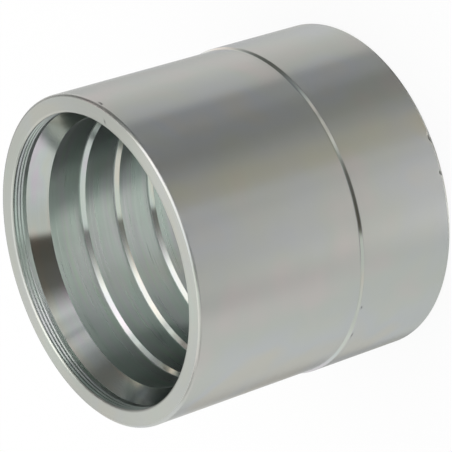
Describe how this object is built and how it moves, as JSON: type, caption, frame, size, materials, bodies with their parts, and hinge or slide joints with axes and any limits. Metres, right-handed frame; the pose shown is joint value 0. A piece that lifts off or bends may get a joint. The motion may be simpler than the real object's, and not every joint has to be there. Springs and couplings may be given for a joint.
{
  "type": "crimp hose ferrule",
  "caption": "Turned steel sleeve with a wide mouth, ring teeth along its bore and an inward collar at the back, crimped over a hose end onto its insert.",
  "frame": {"origin": "centre of the collar's end face, which it stands on", "axes": "+Z along the bore, from the collar towards the mouth; the part is round about Z"},
  "size_m": [0.085, 0.085, 0.0766],
  "materials": {
    "zinc_plated_steel": "turned and bright zinc plated"
  },
  "bodies": {
    "root": {"ferrule": "zinc_plated_steel"}
  },
  "joints": []
}
